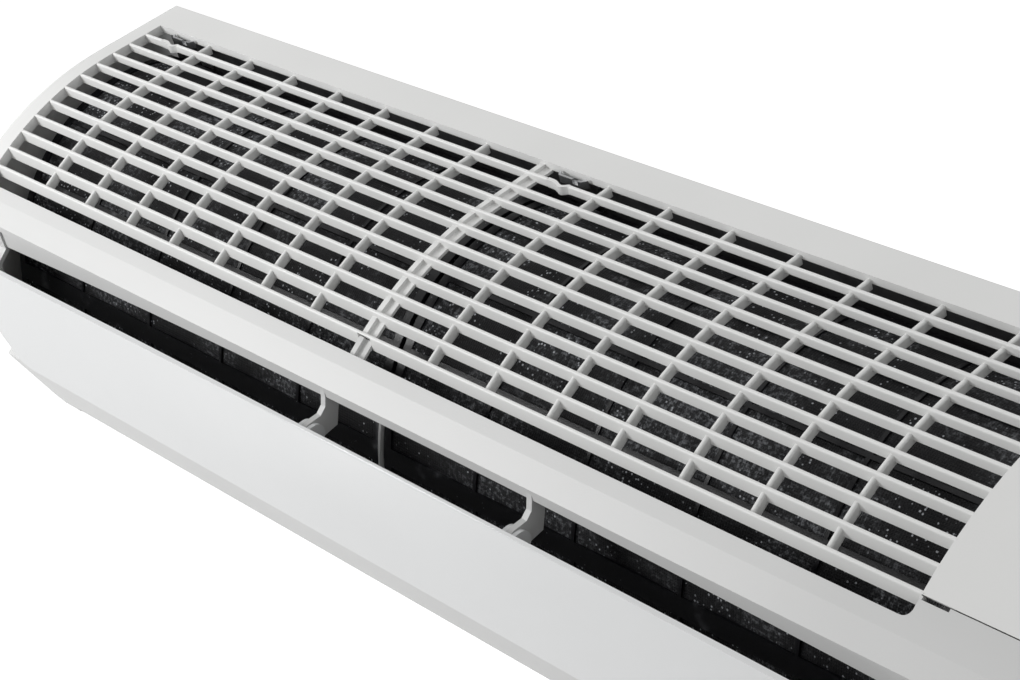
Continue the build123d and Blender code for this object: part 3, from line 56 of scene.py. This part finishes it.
# ---------------------------------------------------------------- camera
PICTURE_WIDTH, FOCAL_LENGTH = 1020.0, 2411.63  # in pixels
SENSOR_WIDTH = 36.0  # in millimetres
NEAR_LIMIT = 0.01  # in metres
CAMERA_PLACE = (0.7124, -0.5814, 0.6545)
CAMERA_RIGHT = Vector((0.65898981, 0.71742224, -0.2259154))
CAMERA_DOWN = Vector((0.28724684, -0.51764045, -0.80593897))


def place_camera():
    """Camera that stands to the right, in front of and above the unit, looking down along it."""
    ahead = CAMERA_RIGHT.cross(CAMERA_DOWN).normalized()
    data = bpy.data.cameras.new("camera")
    data.sensor_width = SENSOR_WIDTH
    data.lens = FOCAL_LENGTH * SENSOR_WIDTH / PICTURE_WIDTH
    data.clip_start = NEAR_LIMIT
    camera = add_object("camera", data)
    turn = Matrix((CAMERA_RIGHT, -CAMERA_DOWN, -ahead)).transposed().to_4x4()
    camera.matrix_world = Matrix.Translation(CAMERA_PLACE) @ turn
    bpy.context.scene.camera = camera


place_camera()


# ---------------------------------------------------------------- shader expressions
# Sockets by number: those of a Map Range node, then those of a Mix node for colours.
VALUE, FROM_LOW, FROM_HIGH, TO_LOW, TO_HIGH = range(5)
SHARE, LOW_COLOUR, HIGH_COLOUR, MIXED = 0, 6, 7, 2


class Signal:
    """A shader output that can stand in plain arithmetic. Each operation adds one Math node."""

    def __init__(self, nodes, socket):
        self.nodes = nodes
        self.socket = socket

    def math(self, operation, *others):
        """This output and the others, in that order, through one Math node."""
        values = dict(enumerate((self, *others)))
        return self.nodes.add("ShaderNodeMath", {"operation": operation}, values)

    def __add__(self, other):
        return self.math("ADD", other)

    def __sub__(self, other):
        return self.math("SUBTRACT", other)

    def __rsub__(self, other):
        return self.nodes.add("ShaderNodeMath", {"operation": "SUBTRACT"}, {0: other, 1: self})

    def __mul__(self, other):
        return self.math("MULTIPLY", other)

    __radd__ = __add__
    __rmul__ = __mul__

    def above(self, low, high):
        """0 below low, 1 above high, smooth between them."""
        return self.nodes.add("ShaderNodeMapRange", {"interpolation_type": "SMOOTHSTEP"},
                              {VALUE: self, FROM_LOW: low, FROM_HIGH: high, TO_LOW: 0.0, TO_HIGH: 1.0})


class Nodes:
    """The nodes of a material or of the world."""

    def __init__(self, tree):
        self.tree = tree

    def fill(self, socket, value):
        """Links a pattern to a socket, or writes a number or a colour into it."""
        if isinstance(value, Signal):
            self.tree.links.new(value.socket, socket)
        else:
            socket.default_value = value

    def add(self, kind, settings, sockets, output=0):
        """Adds a node, applies its settings, then the values or links of its sockets."""
        made = self.tree.nodes.new(kind)
        for key, value in settings.items():
            setattr(made, key, value)
        for key, value in sockets.items():
            self.fill(made.inputs[key], value)
        return Signal(self, made.outputs[output])


class Paint(Nodes):
    """A material whose patterns are written as expressions of the place on the piece, in metres."""

    def __init__(self, name, colour, roughness, metallic=0.0):
        self.name = name
        self.material = bpy.data.materials.new(name)
        self.material.use_nodes = True
        super().__init__(self.material.node_tree)
        self.shader = self.tree.nodes["Principled BSDF"]
        self.place = self.add("ShaderNodeTexCoord", {}, {}, "Object")
        self.set("Base Color", (*colour, 1.0))
        self.set("Roughness", roughness)
        self.set("Metallic", metallic)

    def set(self, name, value):
        """Puts a number, a colour or a pattern on one of the surface's own sockets."""
        self.fill(self.shader.inputs[name], value)

    def noise(self, scale, detail=3.0, stretch=None):
        """Cloudy pattern between 0 and 1, scale in waves per metre."""
        place = self.place
        if stretch:
            place = self.add("ShaderNodeMapping", {}, {"Vector": place, "Scale": stretch})
        return self.add("ShaderNodeTexNoise", {},
                        {"Vector": place, "Scale": scale, "Detail": detail, "Roughness": 0.55})

    def cells(self, scale, output="Distance"):
        """Cell pattern, scale in cells per metre."""
        return self.add("ShaderNodeTexVoronoi", {}, {"Vector": self.place, "Scale": scale}, output)

    def tint(self, share, low, high):
        """Colour that goes from low to high with a pattern."""
        return self.add("ShaderNodeMix", {"data_type": "RGBA"},
                        {SHARE: share, LOW_COLOUR: (*low, 1.0), HIGH_COLOUR: (*high, 1.0)}, MIXED)

    def bump(self, height, distance):
        """Relief from a pattern, distance in metres."""
        values = {"Height": height, "Distance": distance, "Strength": 1.0}
        self.set("Normal", self.add("ShaderNodeBump", {}, values))


def moulded(name, colour, roughness, grain=0.00003, mottle=0.02, coat=0.0):
    """Moulded plastic: faint clouds in the colour, and a fine even grain from the tool."""
    paint = Paint(name, colour, roughness)
    clouds = paint.noise(9.0, 4.0)
    low = tuple(c * (1 - mottle) for c in colour)
    high = tuple(min(c * (1 + mottle), 1.0) for c in colour)
    paint.set("Base Color", paint.tint(clouds.above(0.3, 0.7), low, high))
    fine = paint.noise(1400.0, 2.0)
    paint.set("Roughness", fine * 0.10 + (roughness - 0.05) + clouds * 0.04)
    paint.bump(fine, grain)
    paint.set("Coat Weight", coat)
    paint.set("Coat Roughness", 0.12)
    return paint


def dusty(name, colour, dust, roughness, amount):
    """Dark plastic that has stood in the air stream: grey dust in clumps and loose bright specks."""
    paint = Paint(name, colour, roughness)
    clumps = paint.noise(60.0, 6.0).above(0.62 - amount, 0.78)
    specks = 1.0 - paint.cells(420.0).above(0.06, 0.15)
    chance = paint.noise(240.0, 2.0).above(0.55, 0.62)
    share = clumps * 0.35 + specks * chance * 0.8
    paint.set("Base Color", paint.tint(share.math("MINIMUM", 1.0), colour, dust))
    paint.set("Roughness", share * 0.3 + roughness)
    paint.bump(paint.noise(900.0, 3.0) + share * 0.6, 0.00008)
    return paint


def metal(name, colour, roughness, stretch, scale=700.0):
    """Drawn, rolled or turned metal: fine streaks along one direction."""
    paint = Paint(name, colour, roughness, 1.0)
    streaks = paint.noise(scale, 3.0, stretch)
    stains = paint.noise(30.0, 4.0)
    paint.set("Base Color", paint.tint(stains.above(0.3, 0.8), tuple(c * 0.86 for c in colour), colour))
    paint.set("Roughness", streaks * 0.16 + stains * 0.08 + (roughness - 0.1))
    paint.bump(streaks, 0.00002)
    return paint


def galvanised(name):
    """Zinc-coated sheet: crystal patches of slightly different grey."""
    paint = Paint(name, (0.5, 0.51, 0.52), 0.42, 1.0)
    patch = paint.cells(95.0, "Color")
    grey = paint.add("ShaderNodeRGBToBW", {}, {0: patch})
    paint.set("Base Color", paint.tint(grey, (0.42, 0.43, 0.44), (0.66, 0.67, 0.68)))
    paint.set("Roughness", grey * 0.18 + 0.32)
    paint.bump(grey, 0.00002)
    return paint


WEAVE_PITCH = 0.00125  # from thread to thread, in metres


def netting(name):
    """Woven cloth on the piece's own UV map, in metres, with dust caught in it and fine bright glossy
    specks. Its near-black ground is partly the cloth's own dark colour, partly painted shade.
    """
    paint = Paint(name, (0.03, 0.03, 0.03), 0.8)
    uv = paint.add("ShaderNodeTexCoord", {}, {}, "UV")
    across, along = (paint.add("ShaderNodeSeparateXYZ", {}, {0: uv}, axis) for axis in (0, 1))
    wave = 2 * np.pi / WEAVE_PITCH
    weft = (across * wave).math("SINE") * 0.5 + 0.5
    warp = (along * wave).math("SINE") * 0.5 + 0.5
    thread = weft.math("MAXIMUM", warp)
    dust = paint.noise(26.0, 8.0).above(0.42, 0.64)
    fluff = paint.noise(520.0, 5.0).above(0.46, 0.66)
    bright_specks = (1.0 - paint.cells(400.0).above(0.12, 0.24)) * paint.noise(34.0, 4.0).above(0.46, 0.6)
    share = ((thread * 0.5 + 0.5) * dust * (fluff * 0.34 + 0.04) + bright_specks).math("MINIMUM", 1.0)
    # The low end of this tint is partly the cloth's own near-black and partly painted shade deep inside
    # the unit; the high end carries the dust and the bright specks
    paint.set("Base Color", paint.tint(share, (0.002, 0.002, 0.0035), (0.60, 0.62, 0.66)))
    paint.set("Roughness", 0.75 - bright_specks * 0.6)
    paint.bump(thread + dust * 0.5, 0.0003)
    return paint


def circuit_board(name):
    """Solder-masked board: fine tracks under the mask."""
    paint = Paint(name, (0.03, 0.16, 0.07), 0.35)
    tracks = paint.cells(260.0).above(0.30, 0.36)
    paint.set("Base Color", paint.tint(tracks, (0.05, 0.24, 0.10), (0.02, 0.12, 0.05)))
    paint.set("Roughness", tracks * 0.12 + 0.28)
    paint.bump(tracks, 0.00003)
    return paint


def rubbery(name):
    """Moulded rubber: dull, with bloom in soft patches."""
    paint = Paint(name, (0.025, 0.025, 0.025), 0.8)
    bloom = paint.noise(90.0, 5.0)
    patches = bloom.above(0.4, 0.8)
    paint.set("Base Color", paint.tint(patches, (0.018, 0.018, 0.018), (0.06, 0.06, 0.058)))
    paint.set("Roughness", bloom * 0.2 + 0.66)
    paint.bump(paint.noise(1200.0, 2.0), 0.00004)
    return paint


# Stretches for metal: the pattern is drawn out along the axis that has 0.1.
ALONG_X, ALONG_Y, ALONG_Z = (0.1, 1.0, 1.0), (1.0, 0.1, 1.0), (1.0, 1.0, 0.1)
UNSTRETCHED = (1.0, 1.0, 1.0)
paints = (
    moulded("case_white", (0.76, 0.762, 0.752), 0.42),
    # Painted shade: a darker copy of the case white for the front case, whose band lies in less light
    moulded("front_white_painted_shade", (0.62, 0.622, 0.617), 0.42),
    moulded("panel_white", (0.71, 0.718, 0.72), 0.32, 0.000012, 0.01, 0.12),
    moulded("vane_plastic", (0.50, 0.50, 0.495), 0.5),
    # Painted shade: the chassis is made near black so that the inside of the unit reads dark through the
    # grille
    moulded("chassis_plastic", (0.06, 0.06, 0.063), 0.55, 0.00005, 0.1),
    moulded("box_plastic", (0.58, 0.58, 0.57), 0.5),
    moulded("black_plastic", (0.02, 0.02, 0.02), 0.42),
    moulded("button_grey", (0.38, 0.38, 0.38), 0.45),
    metal("hook_steel", (0.62, 0.63, 0.64), 0.3, ALONG_X),
    moulded("lens", (0.60, 0.61, 0.61), 0.15, 0.000005, 0.01, 0.6),
    dusty("grey_foam", (0.42, 0.43, 0.44), (0.25, 0.24, 0.22), 0.7, 0.05),
    dusty("fan_plastic", (0.03, 0.03, 0.032), (0.22, 0.21, 0.2), 0.5, 0.1),
    dusty("filter_black", (0.005, 0.005, 0.007), (0.36, 0.37, 0.39), 0.35, 0.02),
    netting("filter_mesh"),
    metal("fin_aluminium", (0.62, 0.63, 0.64), 0.42, ALONG_Z),
    metal("copper", (0.80, 0.42, 0.28), 0.32, UNSTRETCHED, 300.0),
    metal("brass", (0.78, 0.60, 0.30), 0.3, ALONG_X),
    metal("bronze", (0.42, 0.30, 0.17), 0.5, UNSTRETCHED, 1500.0),
    metal("spring_steel", (0.55, 0.55, 0.55), 0.35, ALONG_Y),
    metal("screw_steel", (0.6, 0.6, 0.58), 0.35, ALONG_Z),
    metal("shaft_steel", (0.58, 0.58, 0.58), 0.25, ALONG_X),
    galvanised("zinc_steel"),
    moulded("motor_paint", (0.36, 0.37, 0.38), 0.4, 0.00006, 0.04),
    circuit_board("board_green"),
    rubbery("rubber"),
)
finish = {paint.name: paint.material for paint in paints}


def dress(piece, material):
    """Gives a piece one material in place of what it had."""
    piece.data.materials.clear()
    piece.data.materials.append(material)


slots = {entry["node"]: entry["material_slot"] for entry in frame["record"]["subparts"]}
for name, piece in frame["nodes"].items():
    dress(piece, finish[slots[name]])
# The front case takes the darker copy of the case white, which is painted shade
dress(frame["nodes"]["front_case"], finish["front_white_painted_shade"])


# ---------------------------------------------------------------- surfaces
def add_piece(name, points, faces, body, slot, node, uv=None, smooth=True):
    """Makes a mesh of points (n, 3) and faces on its body and material slot, in place of a node."""
    mesh = bpy.data.meshes.new(name)
    mesh.from_pydata(points.tolist(), [], faces)
    mesh.update()
    if uv is not None:
        layer = mesh.uv_layers.new(name="UVMap")
        corners = np.empty(len(mesh.loops), dtype=np.int64)
        mesh.loops.foreach_get("vertex_index", corners)
        layer.data.foreach_set("uv", uv[corners].astype(np.float32).ravel())
    mesh.polygons.foreach_set("use_smooth", np.full(len(mesh.polygons), smooth))
    piece = add_object(name, mesh)
    piece.data.materials.append(finish[slot])
    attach(piece, body)
    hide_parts(node)
    return piece


def grid_faces(rows, columns, wrap=False):
    """Quads of a grid of rows by columns points, closed round the columns if wrap is true."""
    last = columns if wrap else columns - 1
    r, c = np.meshgrid(np.arange(rows - 1), np.arange(last), indexing="ij")
    right = (c + 1) % columns
    this_row, next_row = r * columns, (r + 1) * columns
    quads = (this_row + c, this_row + right, next_row + right, next_row + c)
    return np.stack(quads, -1).reshape(-1, 4).tolist()


# A filter's frame as in the source, in mm and degrees: axis of the curve, outer radius and thickness,
# first and last angle, width of the border, and how many bays it has across and along.
FILTER_Y, FILTER_Z = -54.0, 10.0
FILTER_OUTER, FILTER_FRAME = 98.0, 2.4
FILTER_LOW, FILTER_HIGH = 70.0, 197.0
FILTER_BORDER, FILTER_COLUMNS, FILTER_ROWS = 5.0, 5, 6
# Its cloth, in mm: deepest sag, thickness, radius that the weave is measured at, and points per bay.
CLOTH_SAG, CLOTH_THICKNESS, WEAVE_RADIUS = 0.9, 0.4, 97.0
BAY_POINTS_ACROSS, BAY_POINTS_ALONG = 20, 12


def filter_cloth(name, node, body):
    """Cloth in a filter's frame: radius = middle of the frame minus a sag, where the sag is the product
    of a sine across each column and a sine along each row, so that the cloth is taut on every bar."""
    low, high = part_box(node)
    start, end = low[0] / MM, high[0] / MM
    columns, rows = BAY_POINTS_ACROSS * FILTER_COLUMNS + 1, BAY_POINTS_ALONG * FILTER_ROWS + 1
    u = np.linspace(0, 1, columns)
    v = np.linspace(0, 1, rows)
    edge = np.degrees(FILTER_BORDER / 2 / FILTER_OUTER)
    angle = np.radians(FILTER_LOW + edge + (FILTER_HIGH - FILTER_LOW - 2 * edge) * v)[:, None]
    x = (start + (end - start) * u)[None, :]
    across = np.abs(np.sin(np.pi * FILTER_COLUMNS * u))[None, :]
    along = np.abs(np.sin(np.pi * FILTER_ROWS * v))[:, None]
    radius = FILTER_OUTER - FILTER_FRAME / 2 - CLOTH_SAG * (across * along)
    y, z = FILTER_Y + radius * np.cos(angle), FILTER_Z + radius * np.sin(angle)
    points = np.stack(np.broadcast_arrays(x, y, z), -1).reshape(-1, 3) * MM
    uv = np.stack(np.broadcast_arrays(x, WEAVE_RADIUS * angle), -1).reshape(-1, 2) * MM
    piece = add_piece(name, points, grid_faces(rows, columns), body, "filter_mesh", node, uv)
    wall = piece.modifiers.new("thickness", "SOLIDIFY")
    wall.thickness = CLOTH_THICKNESS * MM
    wall.offset = 0.0


filter_cloth("cloth_left", "mesh_left", "filter_l")
filter_cloth("cloth_right", "mesh_right", "filter_r")

# Sheet fins, in mm: spacing, thickness, how far in from the ends the outer ones stand, and the corners
# (Y, Z) of one fin of each bank.
FIN_PITCH, FIN_THICKNESS, FIN_INSET = 1.5, 0.2, 0.5
FRONT_FIN = ((-143.0, -38.0), (-143.0, 31.6), (-100.3, 86.4), (-86.0, 75.3),
             (-86.0, 70.6), (-122.0, 24.4), (-122.0, -38.0))
BACK_FIN = ((-85.0, 72.1), (-85.0, 77.0), (-70.9, 88.2), (-19.9, 26.7), (-36.1, 13.3))


def fin_pack(name, node, outline):
    """Pack of sheet fins: the outline (Y, Z) repeated evenly along X over the node's length, each time as
    a thin closed plate."""
    low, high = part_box(node)
    length = (high[0] - low[0]) / MM
    count = int(length / FIN_PITCH)
    first = low[0] / MM + FIN_INSET
    places = first + (length - 2 * FIN_INSET - FIN_THICKNESS) * np.arange(count) / (count - 1)
    n = len(outline)
    plates = np.empty((count, 2, n, 3))
    plates[..., 0] = places[:, None, None] + np.array([0.0, FIN_THICKNESS])[None, :, None]
    plates[..., 1:] = outline
    near = np.arange(n)
    far = near + n
    after = np.roll(near, -1)
    sides = np.stack((far, after + n, after, near), -1)
    faces = []
    for base in range(0, 2 * n * count, 2 * n):
        faces.extend((sides + base).tolist())
        faces.append((near + base).tolist())
        faces.append((far[::-1] + base).tolist())
    add_piece(name, plates.reshape(-1, 3) * MM, faces, "base", "fin_aluminium", node, smooth=False)


fin_pack("fins_front", "coil_front", FRONT_FIN)
fin_pack("fins_back", "coil_back", BACK_FIN)

# Return spring: number of turns, radius of the wire in mm, and points per turn and round the wire.
SPRING_TURNS, WIRE_RADIUS = 6, 0.45
TURN_POINTS, WIRE_POINTS = 20, 10


def coil_spring(name, node):
    """Wire wound along Y: centre line = circle of the spring's radius, advancing evenly along Y;
    section = circle of the wire's radius."""
    low, high = (np.array(corner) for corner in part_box(node))
    middle = (low + high) / 2
    wire = WIRE_RADIUS * MM
    radius = (high[0] - low[0]) / 2 - wire
    steps = SPRING_TURNS * TURN_POINTS + 1
    t = np.linspace(0, 1, steps)[:, None]
    a = 2 * np.pi * SPRING_TURNS * t
    b = np.linspace(0, 2 * np.pi, WIRE_POINTS, endpoint=False)[None, :]
    reach = radius + wire * np.cos(b)
    x, z = middle[0] + reach * np.cos(a), middle[2] + reach * np.sin(a)
    y = low[1] + wire + (high[1] - low[1] - 2 * wire) * t + wire * np.sin(b)
    points = np.stack(np.broadcast_arrays(x, y, z), -1).reshape(-1, 3)
    faces = grid_faces(steps, WIRE_POINTS, True)
    faces.append(list(range(WIRE_POINTS)))
    faces.append(list(range(len(points) - WIRE_POINTS, len(points)))[::-1])
    add_piece(name, points, faces, "base", "spring_steel", node)


coil_spring("return_spring", "button_spring")

# ---------------------------------------------------------------- floor, lamps and world
FLOOR_REACH, FLOOR_Z, FLOOR_GLOW = 8.0, -0.8, 0.6
LAMPS = (  # name, place, target, width of the square, power in watts
    ("key", (-0.95, -0.95, 0.62), (-0.3, -0.1, 0.0), 0.5, 12.0),
    ("top", (0.1, 1.0, 1.3), (0.0, -0.05, 0.12), 1.0, 6.0),
    ("low", (-0.75, -0.8, -0.4), (-0.2, -0.15, -0.05), 0.5, 1.3),
)
WORLD_LIGHT, WORLD_SEEN = 0.5, 1.0


def white_ground():
    """Pale floor far below the hanging unit, which glows for the camera alone."""
    mesh = bpy.data.meshes.new("floor")
    signs = ((-1, -1), (1, -1), (1, 1), (-1, 1))
    mesh.from_pydata([(x * FLOOR_REACH, y * FLOOR_REACH, FLOOR_Z) for x, y in signs], [], [(0, 1, 2, 3)])
    floor = add_object("floor", mesh)
    paint = Paint("floor_white", (0.9, 0.9, 0.9), 0.9)
    seen = paint.add("ShaderNodeLightPath", {}, {}, "Is Camera Ray")
    paint.set("Emission Color", paint.tint(seen, (0.0, 0.0, 0.0), (1.0, 1.0, 1.0)))
    paint.set("Emission Strength", FLOOR_GLOW)
    floor.data.materials.append(paint.material)


def lamp(name, place, target, size, power):
    """Soft square lamp at a place, turned towards a target."""
    data = bpy.data.lights.new(name, "AREA")
    data.size = size
    data.energy = power
    heading = Vector(target) - Vector(place)
    turn = heading.to_track_quat("-Z", "Y").to_matrix().to_4x4()
    add_object(name, data).matrix_world = Matrix.Translation(place) @ turn


def even_world():
    """White surroundings: full white where the camera sees them, straight or through a clear piece, and
    softer for light and reflections."""
    world = bpy.data.worlds.new("world")
    bpy.context.scene.world = world
    world.use_nodes = True
    sky = Nodes(world.node_tree)
    straight = sky.add("ShaderNodeLightPath", {}, {}, "Is Camera Ray")
    through = sky.add("ShaderNodeLightPath", {}, {}, "Is Transmission Ray")
    seen = straight.math("MAXIMUM", through)
    level = sky.add("ShaderNodeMapRange", {}, {VALUE: seen, TO_LOW: WORLD_LIGHT, TO_HIGH: WORLD_SEEN})
    surface = sky.tree.nodes["Background"]
    sky.fill(surface.inputs["Strength"], level)
    sky.fill(surface.inputs["Color"], (1.0, 1.0, 1.0, 1.0))


white_ground()
for setting in LAMPS:
    lamp(*setting)
even_world()
bpy.context.scene.view_settings.view_transform = "Standard"
